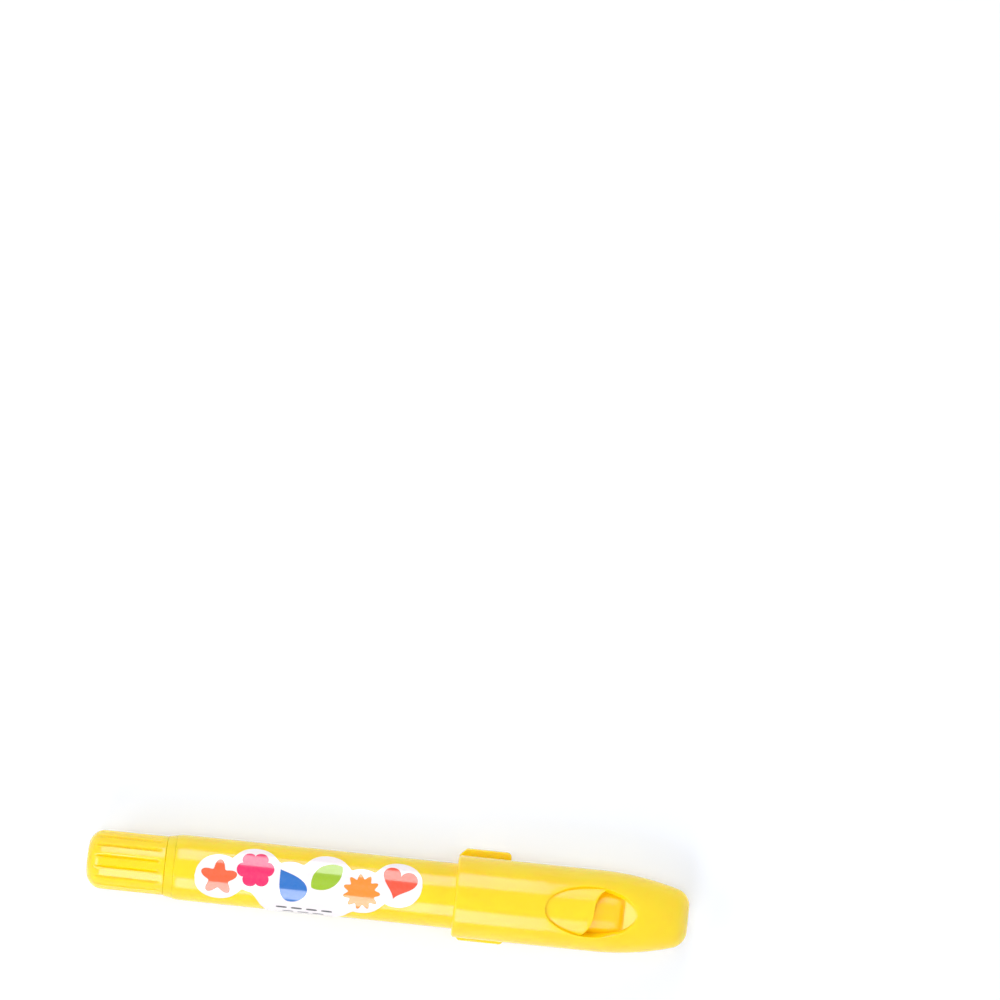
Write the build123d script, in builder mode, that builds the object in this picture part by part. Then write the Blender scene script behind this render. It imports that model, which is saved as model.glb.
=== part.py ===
from build123d import *
import os
from math import cos, radians, sin, sqrt

# Twist crayon, in millimetres: a knob winds a wax stick out of a round barrel, under a pull-off cap.
# +X runs along the crayon from the knob to the tip of the cap, +Z is up, z = 0 is the foot's underside.

# Clearances
press_gap = 0.02
running_gap = 0.08
end_gap = 0.3
cap_gap = 0.1

# Twist knob
knob_length = 18.1
knob_diameter = 13.7
knob_end_radius = 3.8
knob_front_edge = 0.35
knob_end_wall = 2.0
flute_count = 16
flute_land = 0.9
flute_depth = 0.45
neck_step = 0.29
spigot_length = 4.5

# Friction ring on the knob's neck
ring_section = 0.86
ring_seat_width = 1.2
ring_set_back = 3.4
ring_seat_wall = 0.92

# Rear collar
collar_flange_length = 1.9
collar_step = 0.08
collar_taper = 0.37
collar_plug_length = 6.4

# Barrel
barrel_length = 77.1
barrel_diameter = 15.2
barrel_wall = 1.1
barrel_rear_step = 0.2
barrel_rear_taper = 1.5
cap_seat_step = 0.25
cap_bead_height = 0.29
cap_bead_width = 1.2
cap_bead_set_back = 5.0
barrel_front_edge = 0.4

# Spiral sleeve, drive tube and carrier
sleeve_wall = 0.93
groove_depth = 0.5
tube_wall = 0.72
carrier_wall = 0.55
carrier_length = 12.0
carrier_floor = 3.0
pin_diameter = 1.3
pin_gap = 0.15
turn_lead = 12.0
turns_back = 2.0
turns_forward = 2.0

# Crayon stick
stick_length = 41.2
stick_tip_length = 5.0
stick_tip_diameter = 3.6
stick_tip_round = 1.2

# Nose guide
nose_plug_length = 4.5
nose_cone_length = 3.6
nose_flange_step = 0.3
nose_tip_wall = 1.0
nose_edge = 0.5
nose_hole_gap = 0.2

# Cap
cap_length = 54.5
cap_diameter = 19.0
cap_overlap = 11.9
cap_rim_edge = 0.7
cap_mouth_chamfer = 0.4
cap_nose_room = 2.0
cap_stick_room = 1.9
bill_solid_length = 15.1
bill_length = 30.0
bill_top_drop = 5.84
brow_length = 12.5
brow_drop = 2.95
side_length = 21.5
side_drop = 3.6
back_length = 23.5
back_drop = 3.12
bill_end_radius = 2.9

# Foot at the cap's rim
foot_width = 21.5
foot_length = 12.0
foot_thickness = 1.8
foot_drop = 0.6
foot_rim_offset = 0.3
foot_chamfer = 1.9
foot_corner = 1.1

# Oval pocket in the cap
pocket_set_back = 22.8
pocket_length = 21.4
pocket_width = 11.7
pocket_depth = 0.7
window_length = 20.8
window_width = 9.8
window_offset = 0.6
window_edge_radius = 38.0
window_edge_slant = 15.0
window_floor_wall = 1.0

# Label sticker
label_start = 5.0
label_length = 52.6
label_thickness = 0.1
label_upper_angle = 58.0
label_lower_angle = 52.0
label_corner = 4.0
lobe_start = 20.7
lobe_length = 21.0
lobe_lower_angle = 112.0
lobe_corner = 5.0

# Stations along the crayon
total_length = (
    knob_length + end_gap + collar_flange_length + barrel_length - cap_overlap + cap_length
)
knob_rear = -total_length / 2
knob_front = knob_rear + knob_length
collar_rear = knob_front + end_gap
barrel_rear = collar_rear + collar_flange_length
barrel_front = barrel_rear + barrel_length
collar_front = barrel_rear + collar_plug_length
cap_rim = barrel_front - cap_overlap
tube_rear = collar_front + end_gap
spigot_front = tube_rear + spigot_length
nose_plug_rear = barrel_front - nose_plug_length
nose_tip = barrel_front + nose_cone_length
tube_front = nose_plug_rear - end_gap
carrier_rear_stop = spigot_front + end_gap
carrier_rear = carrier_rear_stop + turns_back * turn_lead
pin_offset = carrier_floor / 2
pin_station = carrier_rear + pin_offset
pin_rear = pin_station - turns_back * turn_lead
pin_front = pin_station + turns_forward * turn_lead
stick_rear = carrier_rear + carrier_floor + press_gap
stick_tip = stick_rear + stick_length
label_rear = barrel_rear + label_start
cap_bore_depth = cap_length - bill_solid_length
cap_seat_depth = nose_tip + cap_nose_room - cap_rim
bill_start = cap_length - bill_length
pocket_centre = cap_length - pocket_set_back

# Radii, from the outside in
barrel_radius = barrel_diameter / 2
barrel_rear_radius = barrel_radius - barrel_rear_step
collar_front_radius = barrel_rear_radius - collar_step
collar_rear_radius = collar_front_radius - collar_taper
cap_seat_radius = barrel_radius - cap_seat_step
barrel_bore_radius = barrel_radius - barrel_wall
plug_radius = barrel_bore_radius - press_gap
sleeve_bore_radius = plug_radius - sleeve_wall
groove_radius = sleeve_bore_radius + groove_depth
tube_radius = sleeve_bore_radius - running_gap
tube_bore_radius = tube_radius - tube_wall
spigot_radius = tube_bore_radius - press_gap
carrier_radius = tube_bore_radius - running_gap
carrier_bore_radius = carrier_radius - carrier_wall
pin_radius = pin_diameter / 2
pin_reach = groove_radius - pin_gap
slot_width = pin_diameter + 2 * running_gap
stick_radius = carrier_bore_radius - press_gap
nose_hole_radius = stick_radius + nose_hole_gap
nose_tip_radius = nose_hole_radius + nose_tip_wall
nose_flange_radius = cap_seat_radius - nose_flange_step
knob_radius = knob_diameter / 2
neck_radius = tube_bore_radius + neck_step
collar_bore_radius = neck_radius + running_gap
ring_outer_radius = collar_bore_radius - press_gap
ring_inner_radius = ring_outer_radius - ring_section
cap_radius = cap_diameter / 2
cap_bore_radius = barrel_radius + cap_gap
cap_inner_radius = stick_radius + cap_stick_room
window_floor_radius = cap_inner_radius + window_floor_wall
label_inner_radius = barrel_radius + press_gap
label_outer_radius = label_inner_radius + label_thickness

# Reference geometry
axis_height = cap_radius + foot_drop
crayon_axis = Axis((0, 0, axis_height), (1, 0, 0))
side_plane = Plane(origin=(0, 0, axis_height), x_dir=(1, 0, 0), z_dir=(0, -1, 0))
plan_plane = Plane(origin=(0, 0, axis_height), x_dir=(1, 0, 0), z_dir=(0, 0, 1))


def cross_plane(x):
    """Plane across the crayon at station x, with local x along Y and local y along Z."""
    return Plane(origin=(x, 0, axis_height), x_dir=(0, 1, 0), z_dir=(1, 0, 0))


def arc_drop(u, length, drop):
    """Fall, at a distance u from the cap's rim, of an arc that falls by drop over the cap's last length."""
    run = max(u - (cap_length - length), 0.0)
    radius = (length**2 + drop**2) / (2 * drop)
    return radius - sqrt(radius**2 - run**2)


def turned_face(*corners):
    """Closed outline through (station, radius) corners, to be turned about the crayon's axis."""
    with BuildSketch(side_plane) as outline:
        with BuildLine():
            Polyline(*corners, close=True)
        make_face()
    return outline.sketch


def bill_half_width(u):
    """Half width of the cap at a distance u from its rim, before its end is rounded."""
    return cap_radius - arc_drop(u, side_length, side_drop)


def bill_top(u):
    """Height of the cap's upper line over the axis at a distance u from its rim."""
    return cap_radius - arc_drop(u, bill_length, bill_top_drop) - arc_drop(u, brow_length, brow_drop)


def bill_bottom(u):
    """Height of the cap's lower line over the axis, below it, at a distance u from its rim."""
    return arc_drop(u, back_length, back_drop) - cap_radius


# Twist knob: fluted grip, neck with a seat for the friction ring, spigot with two keys for the drive tube
ring_seat_rear = knob_front + ring_set_back
ring_seat_front = ring_seat_rear + ring_seat_width
ring_seat_radius = ring_inner_radius - press_gap
knob_bore_radius = ring_seat_radius - ring_seat_wall
valley_radius = knob_radius - flute_depth
lobe_half_angle = radians(180 / flute_count)
lobe_centre_radius = (
    (knob_radius**2 - valley_radius**2) / (2 * (knob_radius - valley_radius * cos(lobe_half_angle)))
)
lobe_radius = knob_radius - lobe_centre_radius
neck_face = turned_face(
    (knob_front, 0),
    (knob_front, neck_radius),
    (ring_seat_rear, neck_radius),
    (ring_seat_rear, ring_seat_radius),
    (ring_seat_front, ring_seat_radius),
    (ring_seat_front, neck_radius),
    (tube_rear - press_gap, neck_radius),
    (tube_rear - press_gap, spigot_radius),
    (spigot_front, spigot_radius),
    (spigot_front, 0),
)
with BuildPart() as twist_knob:
    with BuildSketch(cross_plane(knob_rear)):
        Circle(knob_radius)
    extrude(amount=knob_length)
    fillet(twist_knob.edges().group_by(Axis.X)[0], radius=knob_end_radius)
    fillet(twist_knob.edges().group_by(Axis.X)[-1], radius=knob_front_edge)
    with BuildSketch(cross_plane(knob_rear)):
        Circle(knob_diameter)
        with PolarLocations(lobe_centre_radius, flute_count):
            Circle(lobe_radius, mode=Mode.SUBTRACT)
        Circle(lobe_centre_radius, mode=Mode.SUBTRACT)
    extrude(amount=knob_length - flute_land, mode=Mode.SUBTRACT)
    revolve(neck_face, axis=crayon_axis)
    with BuildSketch(cross_plane(tube_rear)):
        Rectangle(slot_width - 2 * press_gap, 2 * neck_radius)
        Circle(neck_radius, mode=Mode.INTERSECT)
    extrude(amount=spigot_length)
    with BuildSketch(cross_plane(knob_rear + knob_end_wall)):
        Circle(knob_bore_radius)
    extrude(amount=spigot_front - knob_rear - knob_end_wall, mode=Mode.SUBTRACT)

# Friction ring, a round-section ring in the neck's seat
ring_centre_station = (ring_seat_rear + ring_seat_front) / 2
with BuildPart() as friction_ring:
    with BuildSketch(side_plane):
        with Locations((ring_centre_station, ring_inner_radius + ring_section / 2)):
            Circle(ring_section / 2)
    revolve(axis=crayon_axis)

# Rear collar: tapered flange that shows, and a plug pressed into the barrel
collar_face = turned_face(
    (collar_rear, collar_bore_radius),
    (collar_rear, collar_rear_radius),
    (barrel_rear, collar_front_radius),
    (barrel_rear, plug_radius),
    (collar_front, plug_radius),
    (collar_front, collar_bore_radius),
)
with BuildPart() as rear_collar:
    revolve(collar_face, axis=crayon_axis)

# Barrel: plain tube, tapered at the rear, with a cap seat and a bead at the front
cap_seat_rear = cap_rim - end_gap
bead_centre = barrel_front - cap_bead_set_back
barrel_face = turned_face(
    (barrel_rear, barrel_bore_radius),
    (barrel_rear, barrel_rear_radius),
    (barrel_rear + barrel_rear_taper, barrel_radius),
    (cap_seat_rear, barrel_radius),
    (cap_seat_rear + cap_seat_step, cap_seat_radius),
    (bead_centre - cap_bead_width / 2, cap_seat_radius),
    (bead_centre, cap_seat_radius + cap_bead_height),
    (bead_centre + cap_bead_width / 2, cap_seat_radius),
    (barrel_front - barrel_front_edge, cap_seat_radius),
    (barrel_front, cap_seat_radius - barrel_front_edge),
    (barrel_front, barrel_bore_radius),
)
with BuildPart() as barrel:
    revolve(barrel_face, axis=crayon_axis)

# Spiral sleeve: tube pressed into the barrel, with two helical grooves that end in round stops
sleeve_rear = collar_front + press_gap
sleeve_front = nose_plug_rear - press_gap
groove_cut_depth = groove_depth + sleeve_wall / 2
groove_path_radius = groove_radius - groove_cut_depth / 2
groove_width = pin_diameter + 2 * pin_gap
start_angle = -360 * turns_back
end_angle = 360 * turns_forward
with BuildPart() as groove:
    with BuildLine() as groove_path:
        Helix(
            pitch=turn_lead,
            height=pin_front - pin_rear,
            radius=groove_path_radius,
            center=(pin_rear, 0, axis_height),
            direction=(1, 0, 0),
        )
    path_start = groove_path.line @ 0
    path_heading = groove_path.line % 0
    with BuildSketch(Plane(origin=path_start, x_dir=(0, 0, 1), z_dir=path_heading)):
        Rectangle(groove_cut_depth, groove_width)
    sweep(path=groove_path.line, is_frenet=True)
with BuildPart() as groove_stop:
    with BuildSketch(plan_plane):
        with Locations((pin_station, 0)):
            Circle(groove_width / 2)
    extrude(amount=groove_radius)
sleeve_face = turned_face(
    (sleeve_rear, sleeve_bore_radius),
    (sleeve_rear, plug_radius),
    (sleeve_front, plug_radius),
    (sleeve_front, sleeve_bore_radius),
)
rear_stop = groove_stop.part.translate((pin_rear - pin_station, 0, 0)).rotate(crayon_axis, start_angle)
front_stop = groove_stop.part.translate((pin_front - pin_station, 0, 0)).rotate(crayon_axis, end_angle)
aligned_groove = groove.part.rotate(crayon_axis, start_angle)
with BuildPart() as spiral_sleeve:
    revolve(sleeve_face, axis=crayon_axis)
    for side_angle in (0, 180):
        for cutter in (aligned_groove, rear_stop, front_stop):
            add(cutter.rotate(crayon_axis, side_angle), mode=Mode.SUBTRACT)

# Drive tube: turns with the knob, with two straight slots open at the rear
slot_front = pin_front + pin_radius + end_gap
tube_face = turned_face(
    (tube_rear, tube_bore_radius),
    (tube_rear, tube_radius),
    (tube_front, tube_radius),
    (tube_front, tube_bore_radius),
)
with BuildPart() as drive_tube:
    revolve(tube_face, axis=crayon_axis)
    with BuildSketch(cross_plane(tube_rear)):
        Rectangle(slot_width, 2 * tube_radius + tube_wall)
    extrude(amount=slot_front - tube_rear, mode=Mode.SUBTRACT)

# Stick carrier: cup for the stick, with two pins through the slots into the grooves
carrier_front = carrier_rear + carrier_length
carrier_face = turned_face(
    (carrier_rear, 0),
    (carrier_rear, carrier_radius),
    (carrier_front, carrier_radius),
    (carrier_front, carrier_bore_radius),
    (carrier_rear + carrier_floor, carrier_bore_radius),
    (carrier_rear + carrier_floor, 0),
)
with BuildPart() as stick_carrier:
    revolve(carrier_face, axis=crayon_axis)
    with BuildSketch(plan_plane):
        with Locations((pin_station, 0)):
            Circle(pin_radius)
    extrude(amount=pin_reach, both=True)

# Crayon stick: round wax stick with a blunt cone
stick_face = turned_face(
    (stick_rear, 0),
    (stick_rear, stick_radius),
    (stick_tip - stick_tip_length, stick_radius),
    (stick_tip, stick_tip_diameter / 2),
    (stick_tip, 0),
)
with BuildPart() as crayon_stick:
    revolve(stick_face, axis=crayon_axis)
    fillet(crayon_stick.edges().group_by(Axis.X)[-1], radius=stick_tip_round)

# Nose guide: plug in the barrel's front, with a cone around the stick
nose_face = turned_face(
    (nose_plug_rear, nose_hole_radius),
    (nose_plug_rear, plug_radius),
    (barrel_front, plug_radius),
    (barrel_front, nose_flange_radius),
    (nose_tip - nose_edge, nose_tip_radius),
    (nose_tip, nose_tip_radius - nose_edge),
    (nose_tip, nose_hole_radius),
)
with BuildPart() as nose_guide:
    revolve(nose_face, axis=crayon_axis)

# Cap: round shell that runs out into a blunt bill, with a foot at its rim, an oval pocket on top
# and a window cut deeper in the pocket's front half, down to the round wall of the inner bore
bill_round_start = cap_length - bill_end_radius
bill_steps = 6
round_steps = 6
bill_sections = []
for step in range(bill_steps + 1):
    bill_sections.append((bill_start + (bill_round_start - bill_start) * step / bill_steps, 0.0))
for step in range(1, round_steps + 1):
    turn = radians(90 * step / round_steps)
    bill_sections.append(
        (bill_round_start + bill_end_radius * sin(turn), bill_end_radius * (1 - cos(turn)))
    )
pocket_plane = Plane(origin=(cap_rim + pocket_centre, 0, axis_height), x_dir=(1, 0, 0), z_dir=(0, 0, 1))
pocket_floor_radius = cap_radius - pocket_depth
with BuildPart() as pocket_cut:
    with BuildSketch(pocket_plane):
        Ellipse(pocket_length / 2, pocket_width / 2)
    extrude(amount=cap_diameter)
    with BuildSketch(cross_plane(cap_rim)):
        Circle(pocket_floor_radius)
    extrude(amount=cap_length, mode=Mode.SUBTRACT)
with BuildPart() as window_cut:
    with BuildSketch(pocket_plane):
        Ellipse(window_length / 2, window_width / 2)
        with Locations((window_offset, 0)):
            with PolarLocations(window_edge_radius, 1, start_angle=-window_edge_slant):
                Circle(window_edge_radius, mode=Mode.INTERSECT)
    extrude(amount=cap_diameter)
    with BuildSketch(cross_plane(cap_rim)):
        Circle(window_floor_radius)
    extrude(amount=cap_length, mode=Mode.SUBTRACT)
mouth_face = turned_face(
    (cap_rim, 0),
    (cap_rim, cap_bore_radius + cap_mouth_chamfer),
    (cap_rim + cap_mouth_chamfer, cap_bore_radius),
    (cap_rim + cap_mouth_chamfer, 0),
)
with BuildPart() as cap:
    with BuildSketch(cross_plane(cap_rim)):
        Circle(cap_radius)
    extrude(amount=bill_start)
    fillet(cap.edges().group_by(Axis.X)[0], radius=cap_rim_edge)
    for u, inset in bill_sections:
        upper = bill_top(u) - inset
        lower = bill_bottom(u) + inset
        with BuildSketch(cross_plane(cap_rim + u)):
            with Locations((0, (upper + lower) / 2)):
                Ellipse(bill_half_width(u) - inset, (upper - lower) / 2)
    loft()
    with BuildSketch(Plane.XY):
        with Locations((cap_rim + foot_rim_offset, 0)):
            Rectangle(foot_length, foot_width, align=(Align.MIN, Align.CENTER))
        fillet(vertices().group_by(Axis.X)[-1], radius=foot_corner)
        chamfer(vertices().group_by(Axis.X)[0], length=foot_chamfer)
    extrude(amount=foot_thickness)
    with BuildSketch(cross_plane(cap_rim)):
        Circle(cap_bore_radius)
    extrude(amount=cap_seat_depth, mode=Mode.SUBTRACT)
    with BuildSketch(cross_plane(cap_rim)):
        Circle(cap_inner_radius)
    extrude(amount=cap_bore_depth, mode=Mode.SUBTRACT)
    revolve(mouth_face, axis=crayon_axis, mode=Mode.SUBTRACT)
    add(pocket_cut.part, mode=Mode.SUBTRACT)
    add(window_cut.part, mode=Mode.SUBTRACT)

# Label sticker: a rounded band over the top of the barrel, with a lobe that runs down one side
band_upper = label_outer_radius * sin(radians(label_upper_angle))
band_lower = -label_outer_radius * sin(radians(label_lower_angle))
lobe_top = label_outer_radius * cos(radians(label_lower_angle)) + lobe_corner
lobe_bottom = label_outer_radius * cos(radians(lobe_lower_angle))
label_face = turned_face(
    (label_rear, label_inner_radius),
    (label_rear, label_outer_radius),
    (label_rear + label_length, label_outer_radius),
    (label_rear + label_length, label_inner_radius),
)
with BuildPart() as label_outline:
    with BuildSketch(plan_plane):
        with Locations((label_rear, (band_upper + band_lower) / 2)):
            RectangleRounded(
                label_length, band_upper - band_lower, label_corner, align=(Align.MIN, Align.CENTER)
            )
    extrude(amount=barrel_diameter)
    with BuildSketch(side_plane):
        with Locations((barrel_rear + lobe_start, (lobe_top + lobe_bottom) / 2)):
            RectangleRounded(
                lobe_length, lobe_top - lobe_bottom, lobe_corner, align=(Align.MIN, Align.CENTER)
            )
    extrude(amount=barrel_diameter)
with BuildPart() as label_sticker:
    revolve(label_face, axis=crayon_axis)
    add(label_outline.part, mode=Mode.INTERSECT)

# Named nodes, one STEP file each
nodes = {
    "twist_knob": twist_knob,
    "friction_ring": friction_ring,
    "rear_collar": rear_collar,
    "barrel": barrel,
    "spiral_sleeve": spiral_sleeve,
    "drive_tube": drive_tube,
    "stick_carrier": stick_carrier,
    "crayon_stick": crayon_stick,
    "nose_guide": nose_guide,
    "cap": cap,
    "label_sticker": label_sticker,
}
os.makedirs("parts", exist_ok=True)
for name, node in nodes.items():
    node.part.label = name
    export_step(node.part, f"parts/{name}.step")
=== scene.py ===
"""Looks of a twist crayon: glossy yellow mouldings, a printed sticker and a plain white stage."""

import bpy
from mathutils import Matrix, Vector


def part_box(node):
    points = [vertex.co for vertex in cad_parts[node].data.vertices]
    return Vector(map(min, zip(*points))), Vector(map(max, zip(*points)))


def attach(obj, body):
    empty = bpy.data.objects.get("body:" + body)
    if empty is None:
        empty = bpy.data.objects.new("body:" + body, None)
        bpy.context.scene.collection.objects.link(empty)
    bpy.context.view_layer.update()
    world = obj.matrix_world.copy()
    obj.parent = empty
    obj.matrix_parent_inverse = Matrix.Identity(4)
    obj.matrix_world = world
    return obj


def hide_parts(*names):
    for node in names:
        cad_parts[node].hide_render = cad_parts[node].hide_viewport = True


bl_info = {
    "name": "Twist crayon",
    "version": (1, 0, 0),
    "blender": (4, 5, 0),
    "location": "View3D > Sidebar > Crayon",
    "description": "Builds the mouldings, the wax stick, the sticker and the stage of a twist crayon",
    "category": "Add Mesh",
}

import math

import bmesh
import bpy
from bpy.props import FloatProperty, FloatVectorProperty, IntProperty, PointerProperty
from mathutils import Euler, Matrix, Vector

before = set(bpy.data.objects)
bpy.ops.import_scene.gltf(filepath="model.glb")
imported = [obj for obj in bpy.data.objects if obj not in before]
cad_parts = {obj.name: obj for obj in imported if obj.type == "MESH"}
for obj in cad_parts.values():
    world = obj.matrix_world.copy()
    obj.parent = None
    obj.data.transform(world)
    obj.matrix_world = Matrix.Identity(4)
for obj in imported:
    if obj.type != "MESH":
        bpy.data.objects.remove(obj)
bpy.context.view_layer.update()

MM = 0.001
WELD_GAP = 0.002 * MM
PRINT_WELD_GAP = WELD_GAP / 20
SHARP_ANGLE = math.radians(35)
ROUND_STEPS = 5
SMALL_ROUND_STEPS = 3
QUARTER_TURN = math.pi / 2
TURN_STEPS = 160
# Shine and glow of the moulded yellow, and of the amber painted as shade on the window's floor
MOULDED_SHINE, AMBER_SHINE = 0.52, 0.5
MOULDED_GLOW, AMBER_GLOW = 0.8, 0.4

# Stations of the frame's nodes along the crayon, and the height of its axis
KNOB_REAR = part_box("twist_knob")[0].x
COLLAR_REAR, COLLAR_FRONT = (corner.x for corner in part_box("rear_collar"))
BARREL_LOW, BARREL_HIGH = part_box("barrel")
BARREL_REAR, BARREL_FRONT = BARREL_LOW.x, BARREL_HIGH.x
AXIS_HEIGHT = (BARREL_LOW.z + BARREL_HIGH.z) / 2
NOSE_REAR, NOSE_TIP = (corner.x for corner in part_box("nose_guide"))
STICK_REAR, STICK_TIP = (corner.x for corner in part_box("crayon_stick"))
CAP_RIM, CAP_TIP = (corner.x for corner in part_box("cap"))
LABEL_REAR, LABEL_FRONT = (corner.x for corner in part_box("label_sticker"))


def length(description, millimetres):
    """Length property with a default in millimetres."""
    return FloatProperty(description=description, default=millimetres * MM, unit="LENGTH")


def angle(description, degrees):
    """Angle property with a default in degrees."""
    return FloatProperty(description=description, default=math.radians(degrees), subtype="ANGLE")


def amount(description, value):
    """Property that is a plain number."""
    return FloatProperty(description=description, default=value)


def colour(description, red_green_blue):
    """Colour property, linear."""
    return FloatVectorProperty(
        description=description, default=red_green_blue, subtype="COLOR", size=3, min=0.0, max=1.0
    )


class CrayonBodySizes(bpy.types.PropertyGroup):
    """Sizes of the barrel, the rear collar, the nose guide and the wax stick."""

    barrel_radius: length("Outer radius of the barrel", 7.6)
    barrel_bore: length("Inner radius of the barrel", 6.5)
    barrel_rear_step: length("How much thinner the barrel is at its rear end", 0.2)
    barrel_rear_taper: length("Length over which the barrel widens at its rear", 1.5)
    seat_length: length("Length of the thinner front of the barrel, under the cap", 11.8)
    seat_step: length("How much thinner the barrel is under the cap", 0.25)
    bead_set_back: length("Distance of the snap bead from the barrel's front", 5.0)
    bead_height: length("Height of the snap bead over the seat", 0.29)
    bead_width: length("Width of the snap bead", 1.2)
    front_edge: length("Chamfer at the barrel's front", 0.4)
    collar_lap: length("How far the collar's rear reaches into the gap to the knob", 0.15)
    collar_bore: length("Radius of the collar's bore, round the knob's neck", 5.12)
    collar_rear_radius: length("Radius of the collar beside the knob", 6.95)
    collar_front_radius: length("Radius of the collar beside the barrel", 7.32)
    plug_radius: length("Radius of the plugs pressed into the barrel", 6.48)
    nose_hole: length("Radius of the hole that the stick slides through", 4.3)
    nose_flange_radius: length("Radius of the nose where it leaves the barrel", 7.05)
    nose_tip_radius: length("Radius of the nose at its tip", 5.3)
    stick_radius: length("Radius of the wax stick", 4.1)
    stick_tip_length: length("Length of the stick's worn cone", 5.0)
    stick_tip_radius: length("Radius of the stick's blunt end", 1.8)
    edge_round: length("Rounding of small moulded edges", 0.15)
    crisp_round: length("Rounding of the barrel's crisp edges", 0.075)
    taper_round: length("Rounding where a taper begins", 0.6)
    nose_round: length("Rounding of the nose's tip", 0.45)
    stick_round: length("Rounding of the stick's blunt end", 0.75)


class CrayonKnobSizes(bpy.types.PropertyGroup):
    """Sizes of the fluted knob."""

    length: length("Length of the fluted grip", 18.22)
    radius: length("Radius over the flutes' crests", 6.85)
    end_radius: length("Rounding of the knob's rear end", 3.8)
    front_edge: length("Rounding of the knob's front edge", 0.2)
    flute_count: IntProperty(description="Number of flutes round the knob", default=16)
    flute_depth: length("Depth of a flute under its crests", 0.55)
    flute_width: length("Width of a flute", 1.0)
    flute_land: length("Plain length between the flutes and the front edge", 0.9)
    flute_fade: length("Length over which a flute runs out at its front", 1.1)
    flute_blend: length("Softness of the line where flutes meet the rounded end", 0.16)
    neck_radius: length("Radius of the neck in the collar", 5.04)
    neck_front: length("Length of the neck from the grip to the drive tube", 8.78)
    neck_root: length("How deep the neck stands in the grip", 1.0)
    ring_seat_start: length("Distance of the ring's seat from the grip", 3.3)
    ring_seat_width: length("Width of the friction ring's seat", 1.2)
    ring_seat_radius: length("Radius of the neck at the bottom of the ring's seat", 4.22)
    spigot_radius: length("Radius of the spigot in the drive tube", 4.73)
    spigot_length: length("Length of the spigot", 4.52)
    bore_radius: length("Radius of the knob's bore", 3.3)


class CrayonCapSizes(bpy.types.PropertyGroup):
    """Sizes of the cap with its bill, its oval pocket with a window and its foot."""

    radius: length("Radius of the cap's round part", 9.5)
    length: length("Length of the cap", 54.5)
    rim_edge: length("Rounding of the cap's rim", 0.7)
    bore_radius: length("Radius of the cap's bore", 7.7)
    bore_depth: length("Depth of the cap's inner bore", 39.4)
    inner_bore_start: length("Distance of the inner bore from the rim", 17.5)
    inner_bore_radius: length("Radius of the narrower bore round the stick", 6.0)
    mouth_chamfer: length("Chamfer at the bore's mouth", 0.25)
    bore_taper: length("How much narrower the inner bore gets at its closed end", 2.0)
    bill_length: length("Length over which the cap's upper line falls", 30.0)
    bill_drop: length("Fall of the cap's upper line", 5.84)
    brow_length: length("Length over which the tip falls further", 12.5)
    brow_drop: length("Further fall of the upper line at the tip", 2.95)
    side_length: length("Length over which the cap gets narrower", 21.5)
    side_drop: length("How much narrower each side gets", 3.6)
    back_length: length("Length over which the underside rises", 23.5)
    back_drop: length("Rise of the underside", 3.12)
    end_radius: length("Rounding of the bill's end", 2.9)
    pocket_centre: length("Distance of the oval pocket's centre from the rim", 31.7)
    pocket_length: length("Length of the oval pocket", 21.4)
    pocket_width: length("Width of the oval pocket", 11.7)
    pocket_floor: length("Radius of the pocket's round floor about the axis", 8.8)
    pocket_wall: length("Upright part of the wall beside the window", 0.45)
    pocket_lip: length("Rounding of the pocket's upper edge", 0.12)
    window_offset: length("Distance of the window's edge from the pocket's centre", 0.7)
    window_slant: amount("Slant of the window's edge", 0.06)
    window_flare: amount("How strongly the edge bends away at its ends", 12500.0)
    window_length: length("Length of the oval that bounds the window", 20.8)
    window_width: length("Width of the oval that bounds the window", 9.8)
    window_lip: length("Rounding of the window's upper edge", 0.15)
    window_floor: length("Radius of the window's round floor about the axis", 7.0)
    ramp_start: length("Distance of the ramp's foot from the rim", 39.4)
    ramp_low: length("Height of the ramp's foot over the axis", 5.85)
    ramp_high: length("Height of the ramp over the axis at the window's end", 6.98)
    ramp_run_in: length("Length over which the window's floor falls to the ramp", 1.6)
    foot_offset: length("Distance of the foot from the rim", 0.1)
    foot_length: length("Length of the foot", 12.2)
    foot_width: length("Width of the foot", 21.5)
    foot_thickness: length("Thickness of the foot", 1.8)
    foot_chamfer: length("Cut of the foot's rear corners", 1.7)
    foot_corner: length("Rounding of the foot's front corners", 1.1)
    foot_edge: length("Rounding of the foot's edges", 0.25)


class CrayonLabelSizes(bpy.types.PropertyGroup):
    """Sizes of the sticker and its printed motifs, measured on the unrolled film."""

    film_radius: length("Radius of the film's outside on the barrel", 7.72)
    film_thickness: length("Thickness of the film", 0.1)
    print_height: length("How far the ink stands over the film", 0.015)
    margin: length("White margin round the motifs", 1.25)
    motif_radius: length("Radius of a motif", 4.35)
    stagger: length("How far a motif stands above or below the middle line", 1.4)
    middle: length("Distance of the middle line from the crayon's top", 0.4)
    outline_blend: length("Softness of the die-cut outline between two motifs", 2.2)
    lobe_start: length("Distance of the lobe from the film's rear end", 13.0)
    lobe_length: length("Length of the lobe along the barrel", 24.5)
    lobe_rise: length("Length over which the lobe's sides run out", 5.5)
    lobe_reach: length("How far the lobe runs down under the motifs", 8.2)
    mark_length: length("Length of a small printed mark in the lobe", 2.6)
    mark_width: length("Width of a small printed mark in the lobe", 0.75)


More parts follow.
